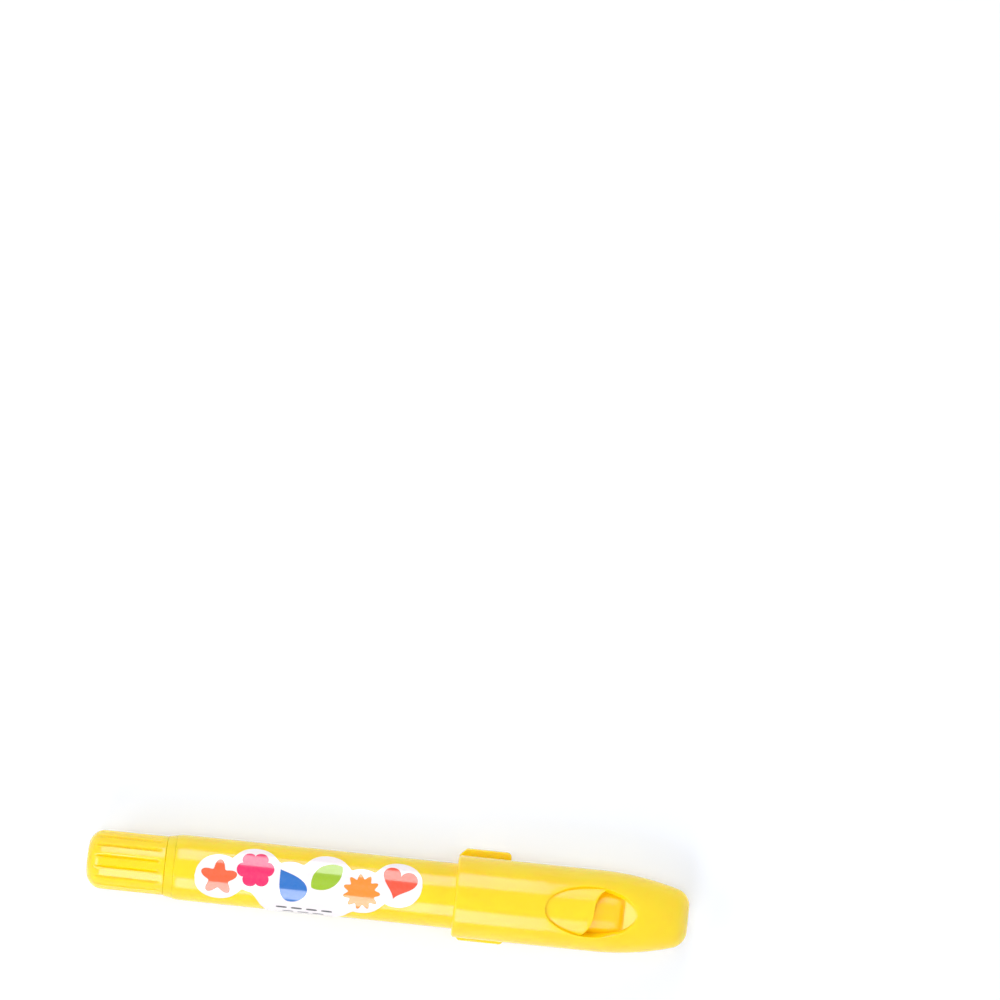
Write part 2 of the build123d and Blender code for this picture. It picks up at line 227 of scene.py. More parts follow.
class CrayonColours(bpy.types.PropertyGroup):
    """Colours of the finishes."""

    yellow: colour("Moulded yellow plastic", (0.98, 0.715, 0.004))
    yellow_deep: colour("Yellow where the moulding is a little thicker", (0.97, 0.68, 0.003))
    # Painted shade: the amber and its darker cloud are a darker, more orange yellow painted on the window's
    # floor for the shade of its recess, not the colour of a thinner wall
    recess_shade_amber: colour("Yellow of the thin wall at the window's floor", (0.98, 0.6, 0.003))
    recess_shade_amber_deep: colour("Darker cloud in the amber", (0.97, 0.55, 0.002))
    wax: colour("Wax of the stick", (0.93, 0.62, 0.018))
    mechanism: colour("Natural white mouldings inside", (0.86, 0.85, 0.81))
    rubber: colour("Friction ring", (0.045, 0.045, 0.045))
    film: colour("White sticker film", (0.885, 0.81, 0.83))
    star: colour("Ink of the star", (0.9, 0.1, 0.02))
    flower: colour("Ink of the flower", (0.8, 0.0, 0.12))
    drop: colour("Ink of the drop", (0.0, 0.14, 0.52))
    leaf: colour("Ink of the leaf", (0.3, 0.5, 0.0))
    sun: colour("Ink of the sun", (0.93, 0.25, 0.01))
    heart: colour("Ink of the heart", (0.9, 0.07, 0.025))
    mark: colour("Ink of the small marks", (0.10, 0.10, 0.10))


class CrayonStage(bpy.types.PropertyGroup):
    """Camera, lights and floor."""

    tilt: angle("Turn of the crayon in the picture", 5.97)
    centre_along: length("Place of the picture's centre along the crayon", 16.4)
    centre_across: length("Place of the picture's centre across the crayon", 92.4)
    view_width: length("Width of the picture at the height of the crayon's axis", 231.9)
    camera_height: length("Height of the camera over the crayon's axis", 1430.0)
    camera_reach: length("Distance up to which the camera sees", 30000.0)
    floor_size: length("Side of the floor", 12000.0)
    floor_colour: colour("Paper of the floor", (0.82, 0.87, 0.98))
    floor_glow: amount("Strength of the floor's white", 1.12)
    floor_share: amount("Share of the floor's own white", 0.37)
    floor_near: length("Distance up to which the floor keeps its shadows", 300.0)
    floor_far: length("Distance from which the floor is plain white", 1200.0)
    lamp_distance: length("Distance of the lamps from the crayon", 900.0)
    strip_rear: length("Rear end of the strip lights along the crayon", -330.0)
    strip_front: length("Front end of the strip lights along the crayon", 60.0)
    strip_angle: angle("Angle of the strip lights from straight above", 53.0)
    strip_spread: angle("Angle that a strip light covers, seen from the crayon", 38.0)
    strip_glow: amount("Radiance of the strip lights", 5.6)
    near_share: amount("Share of the near strip light", 1.06)
    far_share: amount("Share of the far strip light", 0.96)
    key_angle: angle("Angle of the key light behind the knob from straight above", 48.0)
    key_side: angle("Turn of the key light towards the viewer's side", 14.0)
    key_spread: angle("Angle that the key light covers, seen from the crayon", 20.0)
    key_glow: amount("Radiance of the key light", 4.9)
    fill_spread: angle("Angle that the overhead light covers, seen from the crayon", 18.0)
    fill_glow: amount("Radiance of the overhead light", 7.4)
    front_angle: angle("Angle of the light before the cap from straight above", 70.0)
    front_glow: amount("Radiance of the light at the cap", 11.4)
    world_glow: amount("Radiance of the surroundings", 0.1)
    bounces: IntProperty(description="Bounces of light in all", default=16)
    diffuse_bounces: IntProperty(description="Bounces of diffuse light", default=10)


def crayon_point(station, across, height):
    """Point at a station along the crayon, with its offsets from the axis."""
    return Vector((station, across, AXIS_HEIGHT + height))


def smooth_step(low, high, value):
    """Smooth rise from 0 at low to 1 at high."""
    share = min(max((value - low) / (high - low), 0.0), 1.0)
    return share * share * (3.0 - 2.0 * share)


def smooth_max(first, second, blend):
    """The larger of two values, with a soft change from one to the other."""
    closeness = max(blend - abs(first - second), 0.0) / blend
    return max(first, second) + closeness * closeness * blend / 4.0


def sheet(bm, rows, columns, place, keep=None):
    """Add a grid of faces and carry each point to place(row, column); keep(row, column) picks the faces."""
    grid = bmesh.ops.create_grid(bm, x_segments=rows, y_segments=columns, size=1.0)
    steps = {}
    for vert in grid["verts"]:
        steps[vert] = (round((vert.co.x + 1) / 2 * rows), round((vert.co.y + 1) / 2 * columns))
    if keep:
        faces = {face for vert in grid["verts"] for face in vert.link_faces}
        unwanted = []
        for face in faces:
            row = min(steps[vert][0] for vert in face.verts)
            column = min(steps[vert][1] for vert in face.verts)
            if not keep(row, column):
                unwanted.append(face)
        bmesh.ops.delete(bm, geom=unwanted, context="FACES")
    for vert, (row, column) in steps.items():
        if vert.is_valid:
            vert.co = place(row, column)


def weld(bm, gap=WELD_GAP):
    """Merge points that meet and turn all faces outwards."""
    bmesh.ops.remove_doubles(bm, verts=bm.verts, dist=gap)
    bmesh.ops.dissolve_degenerate(bm, edges=bm.edges, dist=gap / 4)
    bmesh.ops.recalc_face_normals(bm, faces=bm.faces)


def edges_where(bm, test):
    """Edges whose two ends both pass a test of their place."""
    return [edge for edge in bm.edges if all(test(vert.co) for vert in edge.verts)]


def bevel(bm, geom, size, steps=ROUND_STEPS, affect="EDGES"):
    """Round edges, or the corners of a flat outline, with a circular bevel; one step makes a chamfer."""
    bmesh.ops.bevel(
        bm, geom=geom, offset=size, offset_type="OFFSET", affect=affect,
        segments=steps, profile=0.5, material=-1,
    )


def turn_outline(bm, corners):
    """Turn a closed outline of (station, radius, rounding) corners about the crayon's axis."""
    verts = [bm.verts.new(crayon_point(station, 0.0, radius)) for station, radius, rounding in corners]
    bm.faces.new(verts)
    for vert, (station, radius, rounding) in zip(verts, corners):
        if rounding > 0:
            bevel(bm, [vert], rounding, affect="VERTICES")
    bmesh.ops.delete(bm, geom=bm.faces[:], context="FACES_ONLY")
    on_axis = edges_where(bm, lambda place: abs(place.z - AXIS_HEIGHT) < WELD_GAP)
    bmesh.ops.delete(bm, geom=on_axis, context="EDGES")
    bmesh.ops.spin(
        bm, geom=bm.verts[:] + bm.edges[:], cent=(0, 0, AXIS_HEIGHT), axis=(1, 0, 0), dvec=(0, 0, 0),
        angle=math.tau, steps=TURN_STEPS, use_merge=True,
    )
    weld(bm)


def finish_piece(name, bm, materials, body, nodes=()):
    """Make a smooth object of a bmesh that rides on a body and stands for CAD nodes."""
    for face in bm.faces:
        face.smooth = True
    for edge in bm.edges:
        edge.smooth = edge.calc_face_angle(0.0) < SHARP_ANGLE
    mesh = bpy.data.meshes.new(name)
    bm.to_mesh(mesh)
    bm.free()
    piece = bpy.data.objects.new(name, mesh)
    bpy.context.scene.collection.objects.link(piece)
    for material in materials:
        mesh.materials.append(material)
    normals = piece.modifiers.new("Even shading", "WEIGHTED_NORMAL")
    normals.keep_sharp = True
    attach(piece, body)
    if nodes:
        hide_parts(*nodes)


def set_sockets(node, values):
    """Set constants on a shader node's sockets, named with an underscore for each space."""
    for socket, value in values.items():
        node.inputs[socket.replace("_", " ")].default_value = value


def add_node(tree, kind, **values):
    """Add a shader node and set its sockets."""
    node = tree.nodes.new(kind)
    set_sockets(node, values)
    return node


def shaded(colour_value, share):
    """A colour made darker or lighter by a share."""
    return [min(1.0, share * value) for value in colour_value]


class Finish:
    """A node material under way: its tree, its shader and its Object coordinates."""

    shade_ends = (0.35, 0.65)
    noise_ends = (0.3, 0.7)

    def __init__(self, name):
        self.material = bpy.data.materials.new(name)
        self.material.use_nodes = True
        self.tree = self.material.node_tree
        self.shader = self.tree.nodes["Principled BSDF"]
        self.places = self.tree.nodes.new("ShaderNodeTexCoord").outputs["Object"]

    def set(self, **values):
        """Set sockets of the shader that are the same all over."""
        set_sockets(self.shader, values)

    def noise(self, grain, detail=3.0):
        """Noise with grains of about that size in metres."""
        node = add_node(self.tree, "ShaderNodeTexNoise", Scale=1.0 / grain, Detail=detail)
        self.tree.links.new(self.places, node.inputs["Vector"])
        return node.outputs["Fac"]

    def vary_colour(self, source, first, second):
        """Mix the base colour between two colours by a source from 0 to 1."""
        ramp = self.tree.nodes.new("ShaderNodeValToRGB")
        for end, position, shade in zip(ramp.color_ramp.elements, self.shade_ends, (first, second)):
            end.position = position
            end.color = (*shade, 1.0)
        self.tree.links.new(source, ramp.inputs["Fac"])
        self.tree.links.new(ramp.outputs["Color"], self.shader.inputs["Base Color"])

    def vary_roughness(self, source, low, high):
        """Vary the roughness between two values by a source from 0 to 1."""
        dark, light = self.noise_ends
        spread = add_node(
            self.tree, "ShaderNodeMapRange", From_Min=dark, From_Max=light, To_Min=low, To_Max=high
        )
        self.tree.links.new(source, spread.inputs["Value"])
        self.tree.links.new(spread.outputs["Result"], self.shader.inputs["Roughness"])

    def add_bump(self, source, strength, distance):
        """Add fine relief from a source."""
        bump = add_node(self.tree, "ShaderNodeBump", Strength=strength, Distance=distance)
        self.tree.links.new(source, bump.inputs["Height"])
        self.tree.links.new(bump.outputs["Normal"], self.shader.inputs["Normal"])


def yellow_plastic(name, shades, shine, glow):
    """Glossy moulded yellow, cloudy between two shades; glow is the share of light that passes into it."""
    finish = Finish(name)
    finish.vary_colour(finish.noise(14 * MM), *shades)
    finish.vary_roughness(finish.noise(1.1 * MM), low=0.13, high=0.2)
    finish.add_bump(finish.noise(0.5 * MM, detail=2.0), strength=0.08, distance=0.02 * MM)
    finish.set(IOR=1.5, Specular_IOR_Level=shine, Specular_Tint=(1.0, 0.42, 1.0, 1.0))
    finish.set(Subsurface_Weight=glow, Subsurface_Radius=(1.0, 0.62, 0.06), Subsurface_Scale=1.0 * MM)
    return finish.material


def moulded_plastic(name, colours):
    """Yellow plastic of the barrel, the knob and the cap."""
    return yellow_plastic(name, (colours.yellow_deep, colours.yellow), MOULDED_SHINE, MOULDED_GLOW)


def wax_finish(colours):
    """Waxy yellow with fine streaks and a dull sheen."""
    finish = Finish("crayon_wax")
    finish.vary_colour(finish.noise(2.2 * MM, detail=6.0), shaded(colours.wax, 0.86), colours.wax)
    finish.vary_roughness(finish.noise(0.7 * MM), low=0.38, high=0.58)
    finish.add_bump(finish.noise(0.35 * MM, detail=5.0), strength=0.3, distance=0.05 * MM)
    finish.set(IOR=1.44, Subsurface_Weight=0.3)
    finish.set(Subsurface_Radius=(1.0, 0.6, 0.1), Subsurface_Scale=1.5 * MM)
    return finish.material


# Clear varnish over the film and its inks
VARNISH = {
    "IOR": 1.5, "Specular_IOR_Level": 0.5, "Coat_Weight": 0.5, "Coat_Roughness": 0.08, "Coat_IOR": 1.5,
}


def film_finish(colours):
    """Glossy white sticker film with a faint waviness."""
    finish = Finish("sticker_film")
    finish.vary_colour(finish.noise(6 * MM), colours.film, shaded(colours.film, 1.03))
    finish.vary_roughness(finish.noise(0.9 * MM), low=0.12, high=0.2)
    finish.add_bump(finish.noise(2.5 * MM, detail=1.0), strength=0.06, distance=0.04 * MM)
    finish.set(**VARNISH)
    return finish.material


def ink_finish(name, ink):
    """Printed ink under a glossy varnish, with the faint mottle of a print."""
    finish = Finish(name)
    lighter = [value + 0.012 * (1.0 - value) for value in ink]
    finish.vary_colour(finish.noise(0.8 * MM, detail=4.0), ink, lighter)
    finish.vary_roughness(finish.noise(0.9 * MM), low=0.12, high=0.2)
    finish.set(**VARNISH)
    return finish.material


def natural_plastic(colours):
    """Unpainted white plastic of the mouldings inside."""
    finish = Finish("mechanism_plastic")
    finish.vary_colour(finish.noise(3 * MM), shaded(colours.mechanism, 0.93), colours.mechanism)
    finish.vary_roughness(finish.noise(0.6 * MM), low=0.4, high=0.55)
    finish.add_bump(finish.noise(0.25 * MM), strength=0.15, distance=0.02 * MM)
    finish.set(IOR=1.5, Subsurface_Weight=0.15)
    finish.set(Subsurface_Radius=(1.0, 0.95, 0.85), Subsurface_Scale=0.8 * MM)
    return finish.material


def ring_rubber(colours):
    """Matte black rubber with a dusty grain."""
    finish = Finish("ring_rubber")
    finish.vary_colour(finish.noise(0.6 * MM, detail=4.0), colours.rubber, shaded(colours.rubber, 1.7))
    finish.vary_roughness(finish.noise(0.3 * MM), low=0.6, high=0.8)
    finish.add_bump(finish.noise(0.12 * MM), strength=0.25, distance=0.02 * MM)
    return finish.material


class CRAYON_OT_body(bpy.types.Operator):
    """Turn the barrel, the rear collar and the nose guide"""

    bl_idname = "crayon.body"
    bl_label = "Barrel, collar and nose"

    def execute(self, context):
        sizes = context.scene.crayon_body
        colours = context.scene.crayon_colours
        plastic = moulded_plastic("barrel_plastic", colours)
        edge = sizes.edge_round
        seat_rear = BARREL_FRONT - sizes.seat_length
        seat_radius = sizes.barrel_radius - sizes.seat_step
        bead = BARREL_FRONT - sizes.bead_set_back
        outlines = {
            "barrel_tube": ("barrel", (
                (BARREL_REAR, sizes.barrel_bore, 0),
                (BARREL_REAR, sizes.barrel_radius - sizes.barrel_rear_step, edge),
                (BARREL_REAR + sizes.barrel_rear_taper, sizes.barrel_radius, sizes.taper_round),
                (seat_rear, sizes.barrel_radius, sizes.crisp_round),
                (seat_rear + sizes.seat_step, seat_radius, sizes.crisp_round),
                (bead - sizes.bead_width / 2, seat_radius, edge),
                (bead, seat_radius + sizes.bead_height, edge),
                (bead + sizes.bead_width / 2, seat_radius, edge),
                (BARREL_FRONT - sizes.front_edge, seat_radius, edge),
                (BARREL_FRONT, seat_radius - sizes.front_edge, sizes.crisp_round),
                (BARREL_FRONT, sizes.barrel_bore, 0),
            )),
            "collar_ring": ("rear_collar", (
                (COLLAR_REAR - sizes.collar_lap, sizes.collar_bore, edge),
                (COLLAR_REAR - sizes.collar_lap, sizes.collar_rear_radius, edge),
                (BARREL_REAR, sizes.collar_front_radius, edge),
                (BARREL_REAR, sizes.plug_radius, 0),
                (COLLAR_FRONT, sizes.plug_radius, edge),
                (COLLAR_FRONT, sizes.collar_bore, edge),
            )),
            "nose_cone": ("nose_guide", (
                (NOSE_REAR, sizes.nose_hole, edge),
                (NOSE_REAR, sizes.plug_radius, edge),
                (BARREL_FRONT, sizes.plug_radius, 0),
                (BARREL_FRONT, sizes.nose_flange_radius, edge),
                (NOSE_TIP, sizes.nose_tip_radius, sizes.nose_round),
                (NOSE_TIP, sizes.nose_hole, edge),
            )),
        }
        for name, (node, corners) in outlines.items():
            bm = bmesh.new()
            turn_outline(bm, corners)
            finish_piece(name, bm, [plastic], "barrel", [node])
        return {"FINISHED"}


class CRAYON_OT_stick(bpy.types.Operator):
    """Turn the part-worn wax stick"""

    bl_idname = "crayon.stick"
    bl_label = "Wax stick"

    def execute(self, context):
        sizes = context.scene.crayon_body
        bm = bmesh.new()
        turn_outline(bm, (
            (STICK_REAR, 0.0, 0),
            (STICK_REAR, sizes.stick_radius, sizes.edge_round),
            (STICK_TIP - sizes.stick_tip_length, sizes.stick_radius, sizes.taper_round),
            (STICK_TIP, sizes.stick_tip_radius, sizes.stick_round),
            (STICK_TIP, 0.0, 0),
        ))
        wax = wax_finish(context.scene.crayon_colours)
        finish_piece("wax_stick", bm, [wax], "carriage", ["crayon_stick"])
        return {"FINISHED"}


class CRAYON_OT_knob(bpy.types.Operator):
    """Build the fluted knob with its neck"""

    bl_idname = "crayon.knob"
    bl_label = "Fluted knob"

    # Steps of the mesh round a flute and along the grip
    lobe_steps = 16
    body_steps = 36
    end_steps = 12
    edge_steps = 4

    def grip_outline(self, sizes):
        """(station, radius) points from the rear end's middle over the grip to its front's middle."""
        front = KNOB_REAR + sizes.length
        points = [(KNOB_REAR, 0.0)]
        for step in range(self.end_steps + 1):
            turn = QUARTER_TURN * step / self.end_steps
            station = KNOB_REAR + sizes.end_radius * (1 - math.cos(turn))
            points.append((station, sizes.radius - sizes.end_radius * (1 - math.sin(turn))))
        body_rear = KNOB_REAR + sizes.end_radius
        body_front = front - sizes.front_edge
        for step in range(1, self.body_steps):
            points.append((body_rear + (body_front - body_rear) * step / self.body_steps, sizes.radius))
        for step in range(self.edge_steps + 1):
            turn = QUARTER_TURN * step / self.edge_steps
            station = body_front + sizes.front_edge * math.sin(turn)
            points.append((station, sizes.radius - sizes.front_edge * (1 - math.cos(turn))))
        points.append((front, 0.0))
        return points

    def flute_radius(self, sizes, turn):
        """Radius of the fluted outline: round lands with narrow hollow flutes between them."""
        half_land = math.pi / sizes.flute_count
        off_flute = abs(turn % (2 * half_land) - half_land) * sizes.radius
        share = min(off_flute / (sizes.flute_width / 2), 1.0)
        return sizes.radius - sizes.flute_depth * (1.0 - share * share) ** 2

    def execute(self, context):
        sizes = context.scene.crayon_knob
        colours = context.scene.crayon_colours
        plastic = moulded_plastic("knob_plastic", colours)
        outline = self.grip_outline(sizes)
        columns = sizes.flute_count * self.lobe_steps
        flute_front = KNOB_REAR + sizes.length - sizes.flute_land

        def place(row, column):
            station, radius = outline[row]
            turn = math.tau * column / columns
            fade = 1.0 - smooth_step(flute_front - sizes.flute_fade, flute_front, station)
            fluted = sizes.radius - (sizes.radius - self.flute_radius(sizes, turn)) * fade
            radius = -smooth_max(-radius, -fluted, sizes.flute_blend * fade + WELD_GAP)
            radius = max(radius, 0.0)
            return crayon_point(station, radius * math.sin(turn), radius * math.cos(turn))

        bm = bmesh.new()
        front = KNOB_REAR + sizes.length
        seat = front + sizes.ring_seat_start
        neck_front = front + sizes.neck_front
        turn_outline(bm, (
            (front - sizes.neck_root, sizes.bore_radius, 0),
            (front - sizes.neck_root, sizes.neck_radius, 0),
            (seat, sizes.neck_radius, 0),
            (seat, sizes.ring_seat_radius, 0),
            (seat + sizes.ring_seat_width, sizes.ring_seat_radius, 0),
            (seat + sizes.ring_seat_width, sizes.neck_radius, 0),
            (neck_front, sizes.neck_radius, 0),
            (neck_front, sizes.spigot_radius, 0),
            (neck_front + sizes.spigot_length, sizes.spigot_radius, 0),
            (neck_front + sizes.spigot_length, sizes.bore_radius, 0),
        ))
        sheet(bm, len(outline) - 1, columns, place)
        weld(bm)
        finish_piece("fluted_knob", bm, [plastic], "knob", ["twist_knob"])
        return {"FINISHED"}


class CRAYON_OT_cap(bpy.types.Operator):
    """Build the cap with its bill, pocket and window, and the foot under its rim"""

    bl_idname = "crayon.cap"
    bl_label = "Cap and foot"

    # Ends of the patch that the skin leaves open round the pocket, from the pocket's centre
    patch_ends = (11.9 * MM, 12.4 * MM)
    # Largest share of the front wall that stands upright
    upright_share = 0.5
    # Steps of the mesh round the cap, along it and in the pocket
    around = 160
    patch_columns = 22
    patch_rows = 48
    band_rows = 3
    floor_rows = 12
    corner_steps = 20
    ramp_rows = 8
    rim_rings = 6
    body_rings = 30
    brow_rings = 16
    end_rings = 12
    meeting_tries = 30

    def arc_drop(self, run_length, drop, from_rim):
        """Fall, at a distance from the rim, of an arc that falls by drop over the cap's last run_length."""
        run = max(from_rim - (self.sizes.length - run_length), 0.0)
        radius = (run_length**2 + drop**2) / (2 * drop)
        return radius - math.sqrt(radius**2 - run**2)

    def section(self, from_rim):
        """Half width, middle height and half height of the cap's outside at a distance from its rim."""
        sizes = self.sizes
        inset = 0.0
        into_end = from_rim - (sizes.length - sizes.end_radius)
        if into_end > 0:
            inset = sizes.end_radius - math.sqrt(max(sizes.end_radius**2 - into_end**2, 0.0))
        into_rim = sizes.rim_edge - from_rim
        if into_rim > 0:
            inset = sizes.rim_edge - math.sqrt(max(sizes.rim_edge**2 - into_rim**2, 0.0))
        top = sizes.radius - inset
        top -= self.arc_drop(sizes.bill_length, sizes.bill_drop, from_rim)
        top -= self.arc_drop(sizes.brow_length, sizes.brow_drop, from_rim)
        bottom = self.arc_drop(sizes.back_length, sizes.back_drop, from_rim) - sizes.radius + inset
        half_width = sizes.radius - self.arc_drop(sizes.side_length, sizes.side_drop, from_rim) - inset
        return half_width, (top + bottom) / 2, (top - bottom) / 2

    def stations(self):
        """Distances of the outside's rings from the rim."""
        sizes = self.sizes
        rings = []
        for step in range(self.rim_rings + 1):
            rings.append(sizes.rim_edge * (1 - math.cos(QUARTER_TURN * step / self.rim_rings)))
        stops = (
            (sizes.pocket_centre - self.patch_ends[0], self.body_rings),
            (sizes.pocket_centre + self.patch_ends[1], self.patch_rows),
            (sizes.length - sizes.end_radius, self.brow_rings),
        )
        start = sizes.rim_edge
        for stop, count in stops:
            for step in range(1, count + 1):
                rings.append(start + (stop - start) * step / count)
            start = stop
        for step in range(1, self.end_rings + 1):
            rings.append(start + sizes.end_radius * math.sin(QUARTER_TURN * step / self.end_rings))
        return rings

    def outside(self, from_rim, turn):
        """Point of the outside at a distance from the rim and a turn from the top."""
        half_width, middle, half_height = self.section(from_rim)
        height = middle + half_height * math.cos(turn)
        return crayon_point(CAP_RIM + from_rim, half_width * math.sin(turn), height)

    def over(self, place):
        """The point of the outside straight above a place."""
        half_width, middle, half_height = self.section(place.x - CAP_RIM)
        rise = math.sqrt(max(1.0 - (place.y / half_width) ** 2, 0.0))
        return crayon_point(place.x, place.y, middle + half_height * rise)

    def on_floor(self, place):
        """The point of the pocket's round floor at a place."""
        return crayon_point(place.x, place.y, math.sqrt(self.sizes.pocket_floor**2 - place.y**2))

    def on_window_floor(self, place):
        """The point of the window's round floor at a place; at its front end the floor rises as a ramp."""
        sizes = self.sizes
        height = math.sqrt(sizes.window_floor**2 - place.y**2)
        dip = smooth_step(self.ramp_foot - sizes.ramp_run_in, self.ramp_foot, place.x)
        height += (min(height, sizes.ramp_low) - height) * dip
        ramp_run = self.centre + self.window_axes[0] - self.ramp_foot
        past_foot = max(place.x - self.ramp_foot, 0.0)
        rise = past_foot * (sizes.ramp_high - sizes.ramp_low) / ramp_run
        return crayon_point(place.x, place.y, height + rise)

    def on_edge(self, across):
        """Point of the window's edge, an easy S across the pocket."""
        sizes = self.sizes
        along = sizes.window_offset + sizes.window_slant * across + sizes.window_flare * across**3
        return Vector((self.centre + along, across, 0.0))

    def through(self, axes, place):
        """Point of an oval about the pocket's centre, with two half axes, in the direction of a place."""
        along = place.x - self.centre
        reach = math.hypot(along / axes[0], place.y / axes[1])
        return Vector((self.centre + along / reach, place.y / reach, 0.0))

    def oval_turn(self, axes, place):
        """Turn of an oval's point from the oval's front end."""
        return math.atan2(place.y / axes[1], (place.x - self.centre) / axes[0])

    def on_oval(self, axes, turn):
        """Point of an oval about the pocket's centre at a turn from its front end."""
        return Vector((self.centre + axes[0] * math.cos(turn), axes[1] * math.sin(turn), 0.0))

    def edge_meets(self, axes, side):
        """Point where the window's edge meets an oval, on the side +1 or -1."""
        across = side * axes[1]
        for attempt in range(self.meeting_tries):
            share = (self.on_edge(across).x - self.centre) / axes[0]
            across = side * axes[1] * math.sqrt(1 - share**2)
        return self.on_edge(across)

    def build_outside(self, bm):
        """Skin of the cap with a gap for the pocket and a band up to the pocket's oval; gives the oval."""
        rings = self.stations()
        patch_start = self.sizes.pocket_centre - self.patch_ends[0]
        start = min(range(len(rings)), key=lambda row: abs(rings[row] - patch_start))
        stop = start + self.patch_rows
        middle = self.around // 2
        low, high = middle - self.patch_columns, middle + self.patch_columns

        def skin(row, column):
            return self.outside(rings[row], math.tau * (column - middle) / self.around)

        sheet(
            bm, len(rings) - 1, self.around, skin,
            lambda row, column: not (start <= row < stop and low <= column < high),
        )
        border = [skin(stop, column) for column in range(middle, high)]
        border += [skin(row, high) for row in range(stop, start, -1)]
        border += [skin(start, column) for column in range(high, low, -1)]
        border += [skin(row, low) for row in range(start, stop)]
        border += [skin(stop, column) for column in range(low, middle)]
        oval = [self.through(self.pocket_axes, place) for place in border]
        ends = []
        for side in (1, -1):
            meeting = self.edge_meets(self.pocket_axes, side)
            nearest = min(range(len(oval)), key=lambda step: (oval[step] - meeting).length)
            oval[nearest] = meeting
            ends.append(nearest)

        def band(row, column):
            outer = border[column % len(border)]
            share = row / self.band_rows
            return self.over(Vector((outer.x, outer.y, 0.0)).lerp(oval[column % len(oval)], share))

        sheet(bm, self.band_rows, len(border), band)
        upper, lower = ends
        oval_front = [oval[step % len(oval)] for step in range(upper, lower - len(oval) - 1, -1)]
        return oval[upper:lower + 1], oval_front

    def build_pocket(self, bm, oval_rear, oval_front):
        """Walls and floor of the pocket, and the step, floor and ramp of its window."""
        sizes = self.sizes
        rear = len(oval_rear) - 1
        front = len(oval_front) - 1
        first, last = self.corner_steps, rear - self.corner_steps
        across = last - first
        side = (front - across) // 2
        stops = (
            (0, oval_rear[0].y),
            (first, self.edge_meets(self.window_axes, 1).y),
            (last, self.edge_meets(self.window_axes, -1).y),
            (rear, oval_rear[-1].y),
        )
        edge = [oval_rear[0]]
        for (begin, start), (end, stop) in zip(stops, stops[1:]):
            for step in range(1, end - begin + 1):
                edge.append(self.on_edge(start + (stop - start) * step / (end - begin)))
        foot_turn = math.acos((self.ramp_foot - self.centre) / self.window_axes[0])
        turns = (
            self.oval_turn(self.window_axes, edge[first]), foot_turn,
            -foot_turn, self.oval_turn(self.window_axes, edge[last]),
        )
        rim = [edge[first]]
        for begin, end, count in zip(turns, turns[1:], (side, across, side)):
            for step in range(1, count + 1):
                rim.append(self.on_oval(self.window_axes, begin + (end - begin) * step / count))

        def step_foot(column):
            if first <= column <= last:
                return self.on_window_floor(edge[column])
            corner, window = (0, first) if column < first else (rear, last)
            share = (column - corner) / (window - corner)
            height = self.on_floor(edge[corner]).lerp(self.on_window_floor(edge[window]), share).z
            return Vector((edge[column].x, edge[column].y, height))

        def front_wall(row, column):
            top = self.over(oval_front[column])
            if row == 0:
                return top
            if column in (0, front):
                return step_foot(row - 1 if column == 0 else rear - row + 1)
            foot = self.on_window_floor(rim[column])
            top.z -= min(sizes.pocket_wall, self.upright_share * (top.z - foot.z))
            return top.lerp(foot, (row - 1) / self.corner_steps)

        def ramp_line(column):
            return rim[side].lerp(rim[side + across], column / across)

        def window_floor(row, column):
            along = row / side
            share = column / across
            lengthwise = edge[first + column].lerp(ramp_line(column), along)
            crosswise = rim[row].lerp(rim[front - row], share)
            corners = edge[first].lerp(edge[last], share).lerp(ramp_line(column), along)
            return self.on_window_floor(lengthwise + crosswise - corners)

        def ramp(row, column):
            return self.on_window_floor(ramp_line(column).lerp(rim[side + column], row / self.ramp_rows))

        sheet(bm, 1, rear, lambda row, column: (self.over, self.on_floor)[row](oval_rear[column]))
        sheet(
            bm, self.floor_rows, rear,
            lambda row, column: self.on_floor(oval_rear[column].lerp(edge[column], row / self.floor_rows)),
        )
        sheet(bm, 1, rear, lambda row, column: step_foot(column) if row else self.on_floor(edge[column]))
        sheet(bm, 1 + self.corner_steps, front, front_wall)
        walls = set(bm.faces)
        sheet(bm, side, across, window_floor)
        # The window's floor takes the second slot, the amber that paints the shade of its recess
        for face in bm.faces:
            face.material_index = 0 if face in walls else 1
        sheet(bm, self.ramp_rows, across, ramp)

    def build_bore(self, bm):
        """Rim, bore with its chamfered mouth and the narrower, closed bore round the stick."""
        sizes = self.sizes
        shoulder = CAP_RIM + sizes.inner_bore_start
        end = CAP_RIM + sizes.bore_depth
        outline = (
            (CAP_RIM, sizes.radius - sizes.rim_edge),
            (CAP_RIM, sizes.bore_radius + sizes.mouth_chamfer),
            (CAP_RIM + sizes.mouth_chamfer, sizes.bore_radius),
            (shoulder, sizes.bore_radius),
            (shoulder + sizes.bore_radius - sizes.inner_bore_radius, sizes.inner_bore_radius),
            (end - sizes.bore_taper, sizes.inner_bore_radius),
            (end, sizes.inner_bore_radius - sizes.bore_taper),
            (end, 0.0),
        )

        def place(row, column):
            station, radius = outline[row]
            turn = math.tau * column / self.around
            return crayon_point(station, radius * math.sin(turn), radius * math.cos(turn))

        sheet(bm, len(outline) - 1, self.around, place)

